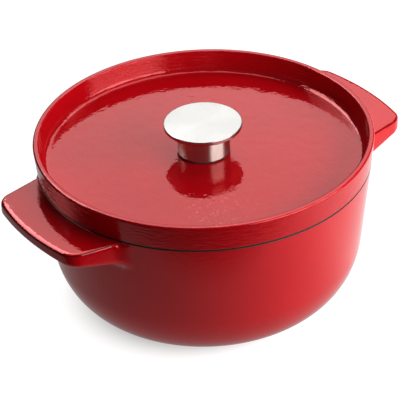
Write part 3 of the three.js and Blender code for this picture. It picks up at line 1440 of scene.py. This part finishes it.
@dataclass(frozen=True)
class SoftBox:
    """A rectangular light that faces the pot.

    Attributes:
        turn: Degrees to the right of the camera, seen from above.
        rise: Degrees above the floor.
        distance: Metres from the pot.
        width: Metres across.
        height: Metres up.
        glow: Brightness of its face.
        lights: Whether it lights matt surfaces.
        mirrored: Whether glossy surfaces mirror it.
    """

    turn: float
    rise: float
    distance: float
    width: float
    height: float
    glow: float
    lights: bool = True
    mirrored: bool = True


@dataclass
class Studio:
    """Pale floor, soft boxes and a long-lens camera."""

    azimuth: float = -34.31
    elevation: float = 33.31
    roll: float = -2.47
    distance: float = 1.79943
    lens: float = 201.25
    aim_height: float = 0.07654
    aim_side: float = -0.00481
    paper_glow: float = 0.98
    paper_white: float = 0.25
    # Glow of the disc that the enamel mirrors, which is painted reflected light: an even part, a
    # pool growing towards the key light, and the share kept under the painted shadow and far out.
    table_even: float = 0.22
    table_glow: float = 0.35
    table_rise: float = 5.2
    table_fall: float = 4.5
    table_edge: tuple[float, float] = (0.262, 0.19)
    table_reach: tuple[float, float] = (0.6, 0.3)
    painted_shade_level: float = 0.3
    dimmest: float = 0.02
    # Centre, in metres to the right and towards the near end, and blur radii of the shadow painted
    # under the pot on the paper and on the glowing disc.
    painted_shadow_centre: tuple[float, float] = (-0.016, 0.009)
    painted_shadow_blur: tuple[float, float] = (0.050, 0.110)
    boxes: tuple[SoftBox, ...] = (
        SoftBox(57.0, 20.0, 0.8, 0.85, 0.50, 4.2),
        SoftBox(80.0, 18.0, 1.0, 0.7, 0.6, 4.6, mirrored=False),
        SoftBox(180.0, 40.0, 2.2, 1.8, 1.2, 1.64),
        SoftBox(150.0, 66.0, 1.8, 1.6, 1.5, 1.7),
        SoftBox(-137.0, 46.0, 1.8, 1.6, 0.6, 4.5, lights=False),
    )
    sky: float = 0.04

    def axes(self) -> tuple[Array, Array, Array]:
        """The camera's right, up and back directions before its roll.

        Returns:
            Three unit vectors.
        """
        a, e = math.radians(self.azimuth), math.radians(self.elevation)
        back = np.array([math.sin(a) * math.cos(e), -math.cos(a) * math.cos(e), math.sin(e)])
        right = np.array([math.cos(a), math.sin(a), 0.0])
        return right, np.cross(back, right), back

    def set_camera(self) -> None:
        """Stand the camera on its line of sight and turn it by its roll."""
        right, up, back = self.axes()
        roll = math.radians(self.roll)
        across = math.cos(roll) * right + math.sin(roll) * up
        upward = math.cos(roll) * up - math.sin(roll) * right
        aim = np.array([0.0, 0.0, self.aim_height]) + self.aim_side * right
        place = aim + back * self.distance
        lens = bpy.data.cameras.new("camera")
        lens.lens = self.lens
        camera = bpy.data.objects.new("camera", lens)
        turn = np.eye(4)
        turn[:3, :3] = np.stack([across, upward, back], axis=1)
        turn[:3, 3] = place
        camera.matrix_world = Matrix(turn.tolist())
        bpy.context.scene.collection.objects.link(camera)
        bpy.context.scene.camera = camera
        bpy.context.scene.view_settings.view_transform = "Standard"

    def add_box(self, box: SoftBox, number: int) -> None:
        """Hang one soft box; its power is glow x pi x area.

        Args:
            box: Where it hangs and how bright it is.
            number: Its place in the list.
        """
        turn, rise = math.radians(self.azimuth + box.turn), math.radians(box.rise)
        level = math.cos(rise)
        aim = np.array([math.sin(turn) * level, -math.cos(turn) * level, math.sin(rise)])
        side = np.array([math.cos(turn), math.sin(turn), 0.0])
        light = bpy.data.lights.new(f"soft_box_{number}", "AREA")
        light.shape = "RECTANGLE"
        light.size, light.size_y = box.width, box.height
        light.energy = box.glow * math.pi * box.width * box.height
        lamp = bpy.data.objects.new(light.name, light)
        matrix = np.eye(4)
        matrix[:3, :3] = np.stack([side, np.cross(aim, side), aim], axis=1)
        matrix[:3, 3] = aim * box.distance + np.array([0.0, 0.0, 0.1])
        lamp.matrix_world = Matrix(matrix.tolist())
        lamp.visible_camera = False
        lamp.visible_diffuse = box.lights
        lamp.visible_glossy = box.mirrored
        bpy.context.scene.collection.objects.link(lamp)

    def add_disc(self, name: str, level: float) -> Mesh:
        """A wide disc at a level in millimetres, closed by an edge and a back.

        Args:
            name: The piece's name.
            level: Height of its face in millimetres.

        Returns:
            The disc.
        """
        reach = np.array([0.0, 0.1, 0.25, 0.5, 1.0, 2.0, 4.0, 9.0]) * 1000.0
        edge = np.array([[9000.0, level - 2.0], [0.0, level - 2.0]])
        outline = np.concatenate([np.stack([reach, np.full(reach.size, level)], axis=1), edge])
        disc = mesh_piece(name, turned(outline, 64))
        return disc

    def add_floor(self) -> None:
        """White paper that the camera sees, over a glowing disc that the enamel mirrors in place of
        a lit table.

        The paper's glow carries a painted shadow where the pot stands close over it. The disc's
        glow is painted reflected light: an even part plus a painted pool that grows exponentially
        towards the key light, both dulled by a painted shadow under the pot and faded far out.
        """
        paper = self.add_disc("studio_paper", -0.2)
        paper.visible_diffuse = paper.visible_glossy = paper.visible_shadow = False
        tree = NodeTree("studio_paper")
        grain = tree.noise(tree.place(), 420.0, 3.0)
        # Painted shadow on the paper: its glow falls to the dimmest grey near the pot's foot.
        clear_of_painted_shadow = self.away(tree, *self.painted_shadow_centre).over(*self.painted_shadow_blur)
        feeds = {
            "Base Color": tree.mix(
                grain * 0.1, grey(self.paper_white), grey(self.paper_white * 0.97)
            ),
            "Roughness": (grain * 0.05) + 0.9,
            "Specular IOR Level": 0.0,
            "Emission Color": tree.mix(clear_of_painted_shadow, grey(self.dimmest), grey(1.0)),
            "Emission Strength": self.paper_glow,
        }
        paper.data.materials.append(tree.finish(feeds))
        # A glowing disc seen only in reflections. It is painted light standing in for a lit table.
        table = self.add_disc("painted_floor_light_disc", -0.6)
        table.visible_camera = table.visible_shadow = False
        tree = NodeTree("painted_floor_light_disc")
        # Painted pool of light: the glow grows towards the key light on the right and falls towards
        # the near end.
        near, right = self.plan(tree)
        slope = (right * self.table_rise) - (near * self.table_fall)
        glow = ((math.e**slope) * self.table_glow) + self.table_even
        # Painted shadow under the pot, then a fade far out.
        clear_of_painted_table_shadow = self.away(tree, *self.painted_shadow_centre).over(*self.painted_shadow_blur)
        far = self.away(tree, 0.0, 0.0).over(*self.table_reach)
        for dimmed in (clear_of_painted_table_shadow, far):
            glow = glow * ((dimmed * (1 - self.painted_shade_level)) + self.painted_shade_level)
        glow = glow * near.over(*self.table_edge)
        feeds = {
            "Base Color": grey(0.0),
            "Specular IOR Level": 0.0,
            "Emission Color": tree.mix(glow, grey(self.dimmest), grey(1.0)),
            "Emission Strength": 1.0,
        }
        table.data.materials.append(tree.finish(feeds))

    def away(self, tree: NodeTree, right: float, near: float) -> Value:
        """Distance on the floor from a point of the set.

        Args:
            tree: Tree that the nodes go into.
            right: Metres towards the right of the set.
            near: Metres towards its near end.

        Returns:
            The distance in metres.
        """
        ahead, aside = self.plan(tree)
        ahead, aside = ahead - near, aside - right
        return ((aside * aside) + (ahead * ahead)) ** 0.5

    def plan(self, tree: NodeTree) -> tuple[Value, Value]:
        """Distances on the floor towards the near end and towards the right of the set.

        Args:
            tree: Tree that the nodes go into.

        Returns:
            The two distances, near first.
        """
        x, y, _ = tree.axes()
        turn = math.radians(self.azimuth)
        near = (x * math.sin(turn)) - (y * math.cos(turn))
        right = (x * math.cos(turn)) + (y * math.sin(turn))
        return near, right

    def add_sky(self) -> None:
        """Dim even light from all round, in front of a white backdrop for the camera."""
        world = bpy.data.worlds.new("studio_air")
        world.use_nodes = True
        tree = world.node_tree
        air = tree.nodes["Background"]
        air.inputs["Color"].default_value = grey(self.sky)
        backdrop = tree.nodes.new("ShaderNodeBackground")
        backdrop.inputs["Color"].default_value = grey(1.0)
        seen = tree.nodes.new("ShaderNodeLightPath")
        choice = tree.nodes.new("ShaderNodeMixShader")
        tree.links.new(seen.outputs["Is Camera Ray"], choice.inputs["Fac"])
        tree.links.new(air.outputs[0], choice.inputs[1])
        tree.links.new(backdrop.outputs[0], choice.inputs[2])
        tree.links.new(choice.outputs[0], tree.nodes["World Output"].inputs["Surface"])
        bpy.context.scene.world = world

    def build(self) -> None:
        """Set the camera, the floor and the lights."""
        self.set_camera()
        self.add_floor()
        self.add_sky()
        for number, box in enumerate(self.boxes):
            self.add_box(box, number)


# ---- Assembly ----


def main() -> None:
    """Set up the studio, then build the pot, the lid, the knob and the fixings."""
    logging.basicConfig(level=logging.INFO, format="%(name)s: %(message)s")
    Studio().build()
    pot_box, lid_box = Extent.of("pot_body"), Extent.of("lid")
    pot = Pot(tip=pot_box.radius, top=pot_box.top)
    pot.dress(pot.build())
    lid = Lid(seat=lid_box.bottom + Lid.ring_depth, top=lid_box.top)
    lid.dress(lid.build())
    knob = Knob(*(Extent.of(f"knob_{part}") for part in ("cap", "neck", "insert", "gasket")))
    knob.assemble(lid.hole)
    parts = ("fixing_screw", "spring_washer", "flat_washer")
    Fixings(*(Extent.of(part) for part in parts)).assemble(lid.hole)


if __name__ == "__main__":
    main()
